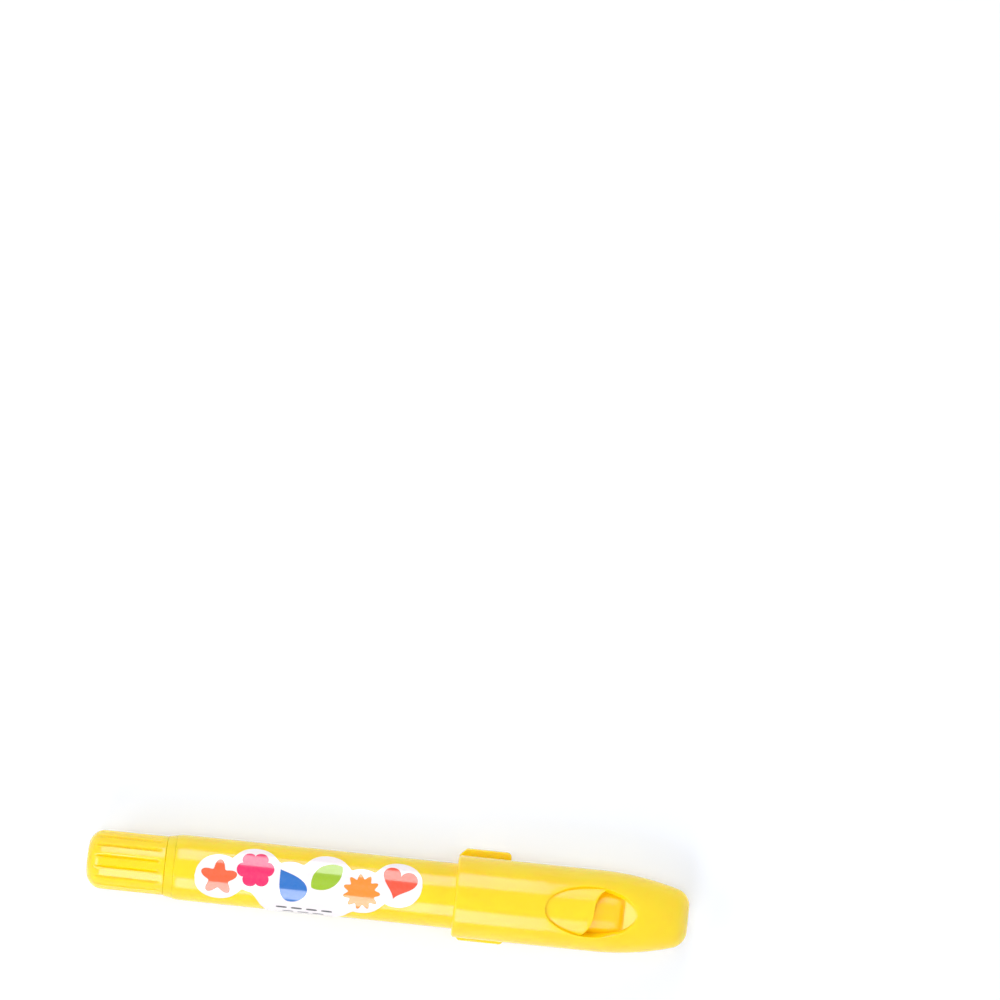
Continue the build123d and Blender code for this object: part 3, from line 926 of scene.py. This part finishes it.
    def build_foot(self, bm):
        """Flat foot under the rim, cut at its rear corners and rounded at the front ones."""
        sizes = self.sizes
        rear = CAP_RIM + sizes.foot_offset
        front = rear + sizes.foot_length
        half = sizes.foot_width / 2
        corners = [bm.verts.new((station, across, 0.0)) for station, across in (
            (rear, half), (rear, -half), (front, -half), (front, half),
        )]
        bm.faces.new(corners)
        cuts = ((corners[:2], sizes.foot_chamfer, 1), (corners[2:], sizes.foot_corner, ROUND_STEPS))
        for verts, cut, steps in cuts:
            bevel(bm, verts, cut, steps, affect="VERTICES")
        raised = bmesh.ops.extrude_face_region(bm, geom=bm.faces[:])
        top = [item for item in raised["geom"] if isinstance(item, bmesh.types.BMVert)]
        bmesh.ops.translate(bm, verts=top, vec=(0, 0, sizes.foot_thickness))
        weld(bm)
        level = [edge for edge in bm.edges if abs(edge.verts[0].co.z - edge.verts[1].co.z) < WELD_GAP]
        bevel(bm, level, sizes.foot_edge, SMALL_ROUND_STEPS)
        weld(bm)

    def close_tip(self, bm):
        """Close the flat end of the bill."""
        tip = [edge for edge in bm.edges if edge.is_boundary]
        bmesh.ops.holes_fill(bm, edges=tip, sides=0)
        bmesh.ops.recalc_face_normals(bm, faces=bm.faces)

    def round_lips(self, bm):
        """Round the pocket's upper edge and the upper edge of the window's step."""
        sizes = self.sizes

        def on_lip(place):
            off_oval = (self.through(self.pocket_axes, place).xy - place.xy).length
            return off_oval < WELD_GAP and abs(self.over(place).z - place.z) < WELD_GAP

        def on_step(place):
            off_edge = abs(self.on_edge(place.y).x - place.x)
            inside = abs(place.y) < sizes.window_width / 2
            return inside and off_edge < WELD_GAP and abs(self.on_floor(place).z - place.z) < WELD_GAP

        def near_pocket(place):
            return abs(place.x - self.centre) < sizes.pocket_length and place.z > AXIS_HEIGHT

        upper_edges = edges_where(bm, near_pocket)
        lip = [edge for edge in upper_edges if all(on_lip(vert.co) for vert in edge.verts)]
        step = [edge for edge in upper_edges if all(on_step(vert.co) for vert in edge.verts)]
        bevel(bm, lip, sizes.pocket_lip)
        bevel(bm, step, sizes.window_lip, SMALL_ROUND_STEPS)
        bmesh.ops.recalc_face_normals(bm, faces=bm.faces)

    def execute(self, context):
        self.sizes = sizes = context.scene.crayon_cap
        self.centre = CAP_RIM + sizes.pocket_centre
        self.pocket_axes = (sizes.pocket_length / 2, sizes.pocket_width / 2)
        self.window_axes = (sizes.window_length / 2, sizes.window_width / 2)
        self.ramp_foot = CAP_RIM + sizes.ramp_start
        colours = context.scene.crayon_colours
        plastic = moulded_plastic("cap_plastic", colours)
        # The window's floor gets an amber that paints the shade of its recess into its colour
        recess_shade_amber = yellow_plastic("window_painted_shade", (colours.recess_shade_amber_deep, colours.recess_shade_amber), AMBER_SHINE, AMBER_GLOW)
        bm = bmesh.new()
        oval_rear, oval_front = self.build_outside(bm)
        self.build_pocket(bm, oval_rear, oval_front)
        self.build_bore(bm)
        weld(bm)
        self.close_tip(bm)
        self.round_lips(bm)
        finish_piece("cap_shell", bm, [plastic, recess_shade_amber], "cap", ["cap"])
        foot = bmesh.new()
        self.build_foot(foot)
        finish_piece("cap_foot", foot, [plastic], "cap", ["cap"])
        return {"FINISHED"}


class CRAYON_OT_label(bpy.types.Operator):
    """Cut the sticker, print its motifs and wrap both on the barrel"""

    bl_idname = "crayon.label"
    bl_label = "Sticker"

    motif_tilts = {"star": 0.3, "flower": 0.1, "drop": 2.2, "leaf": 0.7, "sun": 0.0, "heart": -0.25}
    motif_names = tuple(motif_tilts)
    # Number of waves round a motif, their depth and the power that shapes them
    motif_waves = {"star": (5, 0.22, 1.0), "flower": (3, 0.24, 0.7), "sun": (11, 0.14, 1.0)}
    drop_taper = 1.3
    leaf_width = 0.62
    leaf_taper = 0.45
    # The heart is the usual curve of a cubed sine and four cosines
    heart_width = 16
    heart_heights = (13, -5, -2, -1)
    heart_scale = 17.0
    heart_lift = 0.14
    # Places of the small marks, in lengths and widths of a mark, and how square their outline is
    mark_lines = 3
    marks_in_line = 4
    mark_inset = 0.8
    mark_pitch = 1.35
    mark_shift = 0.6
    line_inset = 1.2
    line_pitch = 2.6
    mark_squareness = (0.5, 0.8)
    # How much closer the rows of the film stand at its ends
    end_crowding = 0.35
    # Steps of the meshes of the film, a motif and a mark
    film_rows = 150
    film_columns = 44
    motif_rings = 10
    motif_points = 120
    mark_rings = 2
    mark_points = 40

    def wrapped(self, along, around, lift):
        """Point on the barrel for a point of the unrolled film."""
        radius = self.sizes.film_radius + lift
        turn = around / self.sizes.film_radius
        return crayon_point(along, radius * math.sin(turn), radius * math.cos(turn))

    def motif_centres(self):
        """Centres of the motifs on the unrolled film, in a zigzag."""
        sizes = self.sizes
        inset = sizes.margin + sizes.motif_radius
        span = LABEL_FRONT - LABEL_REAR - 2 * inset
        centres = []
        for step in range(len(self.motif_names)):
            along = LABEL_REAR + inset + span * step / (len(self.motif_names) - 1)
            side = 1 if step % 2 else -1
            centres.append((along, sizes.middle + side * sizes.stagger))
        return centres

    def film_edges(self, along):
        """Lower and upper edge of the die-cut film at a station."""
        sizes = self.sizes
        reach = sizes.motif_radius + sizes.margin
        upper = lower = None
        for centre, height in self.motif_centres():
            off = abs(along - centre)
            if off < reach + WELD_GAP:
                half = math.sqrt(max(reach**2 - off**2, 0.0))
                if upper is None:
                    upper, lower = height + half, height - half
                else:
                    upper = smooth_max(upper, height + half, sizes.outline_blend)
                    lower = -smooth_max(-lower, half - height, sizes.outline_blend)
        start = LABEL_REAR + sizes.lobe_start
        end = start + sizes.lobe_length
        rise = smooth_step(start, start + sizes.lobe_rise, along)
        fall = smooth_step(end - sizes.lobe_rise, end, along)
        return lower - sizes.lobe_reach * rise * (1.0 - fall), upper

    def build_film(self):
        """The film as a thin closed sheet."""
        sizes = self.sizes
        half = (LABEL_FRONT - LABEL_REAR) / 2
        middle = (LABEL_FRONT + LABEL_REAR) / 2

        def place(row, column):
            share = row / self.film_rows
            ends = -math.cos(math.pi * share)
            evenly = 2 * share - 1
            along = middle + half * (evenly + self.end_crowding * (ends - evenly))
            lower, upper = self.film_edges(along)
            return self.wrapped(along, lower + (upper - lower) * column / self.film_columns, 0.0)

        bm = bmesh.new()
        sheet(bm, self.film_rows, self.film_columns, place)
        weld(bm)
        axis = crayon_point(0.0, 0.0, 0.0)
        inwards = [face for face in bm.faces if face.normal.dot(face.calc_center_median() - axis) < 0]
        if len(inwards) > len(bm.faces) / 2:
            bmesh.ops.reverse_faces(bm, faces=bm.faces)
        bmesh.ops.solidify(bm, geom=bm.faces[:], thickness=sizes.film_thickness)
        bmesh.ops.recalc_face_normals(bm, faces=bm.faces)
        return bm

    def motif_outline(self, name, turn):
        """Outline of a motif of radius 1 about its centre."""
        if name == "drop":
            return math.cos(turn), math.sin(turn) * abs(math.sin(turn / 2)) ** self.drop_taper
        if name == "leaf":
            return math.cos(turn), self.leaf_width * math.sin(turn) * abs(math.sin(turn)) ** self.leaf_taper
        if name == "heart":
            sideways = self.heart_width * math.sin(turn) ** 3
            upwards = sum(height * math.cos(step * turn) for step, height in enumerate(self.heart_heights, 1))
            return sideways / self.heart_scale, upwards / self.heart_scale + self.heart_lift
        waves, depth, power = self.motif_waves[name]
        wave = math.cos(waves * turn)
        if power < 1.0:
            wave = abs(wave) ** power
        reach = 1.0 - depth + depth * wave
        return reach * math.cos(turn), reach * math.sin(turn)

    def print_shape(self, bm, centre, scale, tilt, outline, grid, material_index):
        """Print one filled outline on the film as a thin closed skin of (rings, points)."""
        rings, points = grid
        lift = self.sizes.print_height
        before = set(bm.faces)

        def place(row, column):
            if row <= rings:
                share, height = row / rings, lift
            else:
                share, height = (2 * rings + 1 - row) / rings, -lift
            turned = Vector(outline(math.tau * column / points))
            turned.rotate(Matrix.Rotation(tilt, 2))
            place_on_film = Vector(centre) + scale * share * turned
            return self.wrapped(*place_on_film, height)

        sheet(bm, 2 * rings + 1, points, place)
        for face in bm.faces:
            if face not in before:
                face.material_index = material_index

    def build_print(self):
        """All printed motifs and marks in one mesh, one material slot for each ink."""
        sizes = self.sizes
        bm = bmesh.new()
        motif_grid = (self.motif_rings, self.motif_points)
        mark_grid = (self.mark_rings, self.mark_points)
        for index, (name, centre) in enumerate(zip(self.motif_names, self.motif_centres())):
            self.print_shape(
                bm, centre, sizes.motif_radius, self.motif_tilts[name],
                lambda turn, name=name: self.motif_outline(name, turn), motif_grid, index,
            )
        mark_index = len(self.motif_names)
        start = LABEL_REAR + sizes.lobe_start + sizes.lobe_rise
        middle = sizes.middle - sizes.stagger - sizes.motif_radius - sizes.margin

        def mark(turn):
            ends, sides = self.mark_squareness
            along = math.copysign(abs(math.cos(turn)) ** ends, math.cos(turn))
            across = math.copysign(abs(math.sin(turn)) ** sides, math.sin(turn))
            return along * sizes.mark_length / sizes.mark_width, across

        for line in range(self.mark_lines):
            shifted = line % 2
            around = middle - sizes.mark_width * (self.line_inset + self.line_pitch * line)
            for step in range(self.marks_in_line - shifted):
                lengths = self.mark_inset + self.mark_pitch * step + self.mark_shift * shifted
                centre = (start + sizes.mark_length * lengths, around)
                self.print_shape(bm, centre, sizes.mark_width / 2, 0.0, mark, mark_grid, mark_index)
        weld(bm, PRINT_WELD_GAP)
        return bm

    def execute(self, context):
        self.sizes = context.scene.crayon_label
        colours = context.scene.crayon_colours
        film = film_finish(colours)
        finish_piece("sticker_film", self.build_film(), [film], "barrel", ["label_sticker"])
        inks = [ink_finish(f"{name}_ink", getattr(colours, name)) for name in (*self.motif_names, "mark")]
        finish_piece("sticker_print", self.build_print(), inks, "barrel")
        return {"FINISHED"}


class CRAYON_OT_mechanism(bpy.types.Operator):
    """Give the mouldings and the ring inside their finishes"""

    bl_idname = "crayon.mechanism"
    bl_label = "Mechanism"

    def execute(self, context):
        colours = context.scene.crayon_colours
        white = natural_plastic(colours)
        rubber = ring_rubber(colours)
        finishes = {
            "spiral_sleeve": white, "drive_tube": white, "stick_carrier": white, "friction_ring": rubber,
        }
        for name, material in finishes.items():
            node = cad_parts[name]
            node.data.materials.clear()
            node.data.materials.append(material)
        return {"FINISHED"}


class CRAYON_OT_stage(bpy.types.Operator):
    """Set the floor, the soft lights and the camera"""

    bl_idname = "crayon.stage"
    bl_label = "Stage"

    def seen_directly(self, tree):
        """Factor that is 1 for camera, glossy and transmission rays."""
        paths = tree.nodes.new("ShaderNodeLightPath")
        total = paths.outputs["Is Camera Ray"]
        for kind in ("Is Glossy Ray", "Is Transmission Ray"):
            add = tree.nodes.new("ShaderNodeMath")
            add.operation = "ADD"
            add.use_clamp = True
            tree.links.new(total, add.inputs[0])
            tree.links.new(paths.outputs[kind], add.inputs[1])
            total = add.outputs["Value"]
        return total

    def floor_finish(self):
        """White floor that keeps the crayon's shadow near it and is plain white further off."""
        material = bpy.data.materials.new("white_floor")
        material.use_nodes = True
        tree = material.node_tree
        tree.nodes.clear()
        sizes = self.sizes
        paper = add_node(tree, "ShaderNodeBsdfDiffuse", Color=(*sizes.floor_colour, 1.0))
        glow = add_node(tree, "ShaderNodeEmission", Strength=sizes.floor_glow)
        place = tree.nodes.new("ShaderNodeTexCoord")
        distance = tree.nodes.new("ShaderNodeVectorMath")
        distance.operation = "LENGTH"
        tree.links.new(place.outputs["Object"], distance.inputs[0])
        whiteness = add_node(
            tree, "ShaderNodeMapRange",
            From_Min=sizes.floor_near, From_Max=sizes.floor_far, To_Min=sizes.floor_share,
        )
        tree.links.new(distance.outputs["Value"], whiteness.inputs["Value"])
        share = tree.nodes.new("ShaderNodeMath")
        share.operation = "MULTIPLY"
        tree.links.new(whiteness.outputs["Result"], share.inputs[0])
        tree.links.new(self.seen_directly(tree), share.inputs[1])
        mix = tree.nodes.new("ShaderNodeMixShader")
        tree.links.new(share.outputs["Value"], mix.inputs["Fac"])
        tree.links.new(paper.outputs["BSDF"], mix.inputs[1])
        tree.links.new(glow.outputs["Emission"], mix.inputs[2])
        output = tree.nodes.new("ShaderNodeOutputMaterial")
        tree.links.new(mix.outputs["Shader"], output.inputs["Surface"])
        return material

    def add_floor(self, sizes):
        """Large flat floor that the foot rests on."""
        bm = bmesh.new()
        bmesh.ops.create_grid(bm, x_segments=1, y_segments=1, size=sizes.floor_size / 2)
        mesh = bpy.data.meshes.new("floor")
        bm.to_mesh(mesh)
        bm.free()
        floor = bpy.data.objects.new("floor", mesh)
        bpy.context.scene.collection.objects.link(floor)
        mesh.materials.append(self.floor_finish())

    def add_lamp(self, name, direction, size, middle, glow):
        """Area lamp at the lamps' distance in a direction, aimed at a middle point, with a given radiance."""
        lamp = bpy.data.lights.new(name, "AREA")
        lamp.shape = "RECTANGLE"
        lamp.size, lamp.size_y = size
        lamp.energy = glow * math.pi * lamp.size * lamp.size_y
        holder = bpy.data.objects.new(name, lamp)
        holder.location = middle + direction * self.sizes.lamp_distance
        holder.rotation_euler = direction.to_track_quat("Z", "Y").to_euler()
        holder.visible_camera = False
        bpy.context.scene.collection.objects.link(holder)
        return holder

    def add_lamps(self):
        """A soft strip on each side, a key light behind the knob, and two lights that show in no gloss."""
        sizes = self.sizes
        strip_size = (
            sizes.strip_front - sizes.strip_rear, 2 * sizes.lamp_distance * math.tan(sizes.strip_spread / 2),
        )
        middle = crayon_point((sizes.strip_front + sizes.strip_rear) / 2, 0.0, 0.0)
        for name, side, share in (("near_strip", -1, sizes.near_share), ("far_strip", 1, sizes.far_share)):
            direction = Vector((0.0, side * math.sin(sizes.strip_angle), math.cos(sizes.strip_angle)))
            self.add_lamp(name, direction, strip_size, middle, sizes.strip_glow * share)
        key_side = 2 * sizes.lamp_distance * math.tan(sizes.key_spread / 2)
        direction = Vector((-math.sin(sizes.key_angle), 0.0, math.cos(sizes.key_angle)))
        direction.rotate(Euler((0.0, 0.0, sizes.key_side)))
        self.add_lamp("key", direction, (2 * key_side, key_side), crayon_point(0.0, 0.0, 0.0), sizes.key_glow)
        fill_side = 2 * sizes.lamp_distance * math.tan(sizes.fill_spread / 2)
        overhead = Vector((0.0, 0.0, 1.0))
        before_cap = Vector((math.sin(sizes.front_angle), 0.0, math.cos(sizes.front_angle)))
        fills = (("overhead", overhead, sizes.fill_glow), ("front", before_cap, sizes.front_glow))
        for name, direction, glow in fills:
            fill = self.add_lamp(name, direction, (fill_side, fill_side), crayon_point(0.0, 0.0, 0.0), glow)
            fill.visible_glossy = False

    def add_world(self, sizes):
        """Even dim surroundings that look white to the camera."""
        world = bpy.data.worlds.new("surroundings")
        world.use_nodes = True
        tree = world.node_tree
        background = tree.nodes["Background"]
        background.inputs["Color"].default_value = (1.0, 1.0, 1.0, 1.0)
        spread = add_node(tree, "ShaderNodeMapRange", To_Min=sizes.world_glow)
        tree.links.new(self.seen_directly(tree), spread.inputs["Value"])
        tree.links.new(spread.outputs["Result"], background.inputs["Strength"])
        bpy.context.scene.world = world

    def add_camera(self, sizes):
        """Camera straight above the picture's centre."""
        lens = bpy.data.cameras.new("camera")
        lens.sensor_fit = "HORIZONTAL"
        lens.lens = lens.sensor_width * sizes.camera_height / sizes.view_width
        lens.clip_end = sizes.camera_reach
        camera = bpy.data.objects.new("camera", lens)
        camera.location = crayon_point(sizes.centre_along, sizes.centre_across, sizes.camera_height)
        camera.rotation_euler = Euler((0.0, 0.0, sizes.tilt))
        bpy.context.scene.collection.objects.link(camera)
        bpy.context.scene.camera = camera

    def execute(self, context):
        self.sizes = sizes = context.scene.crayon_stage
        self.add_floor(sizes)
        self.add_lamps()
        self.add_world(sizes)
        self.add_camera(sizes)
        context.scene.view_settings.view_transform = "Standard"
        context.scene.cycles.max_bounces = sizes.bounces
        context.scene.cycles.diffuse_bounces = sizes.diffuse_bounces
        return {"FINISHED"}


class CRAYON_PT_panel(bpy.types.Panel):
    """Steps of the crayon's making"""

    bl_idname = "CRAYON_PT_panel"
    bl_label = "Twist crayon"
    bl_space_type = "VIEW_3D"
    bl_region_type = "UI"
    bl_category = "Crayon"

    def draw(self, context):
        for step in STEPS:
            self.layout.operator(step.bl_idname)
        for settings in SETTINGS:
            box = self.layout.box()
            group = getattr(context.scene, settings)
            for name in group.bl_rna.properties.keys():
                if name not in ("rna_type", "name"):
                    box.prop(group, name, text=name.replace("_", " ").capitalize())


SETTINGS = {
    "crayon_body": CrayonBodySizes,
    "crayon_knob": CrayonKnobSizes,
    "crayon_cap": CrayonCapSizes,
    "crayon_label": CrayonLabelSizes,
    "crayon_colours": CrayonColours,
    "crayon_stage": CrayonStage,
}
STEPS = (
    CRAYON_OT_body,
    CRAYON_OT_stick,
    CRAYON_OT_knob,
    CRAYON_OT_cap,
    CRAYON_OT_label,
    CRAYON_OT_mechanism,
    CRAYON_OT_stage,
)


def register():
    """Register the settings, the operators and the panel."""
    for name, settings in SETTINGS.items():
        bpy.utils.register_class(settings)
        setattr(bpy.types.Scene, name, PointerProperty(type=settings))
    for step in (*STEPS, CRAYON_PT_panel):
        bpy.utils.register_class(step)


def unregister():
    """Remove what register added."""
    for step in (CRAYON_PT_panel, *reversed(STEPS)):
        bpy.utils.unregister_class(step)
    for name, settings in SETTINGS.items():
        delattr(bpy.types.Scene, name)
        bpy.utils.unregister_class(settings)


def main():
    """Build everything in order."""
    register()
    bpy.ops.crayon.body()
    bpy.ops.crayon.stick()
    bpy.ops.crayon.knob()
    bpy.ops.crayon.cap()
    bpy.ops.crayon.label()
    bpy.ops.crayon.mechanism()
    bpy.ops.crayon.stage()


if __name__ == "__main__":
    main()
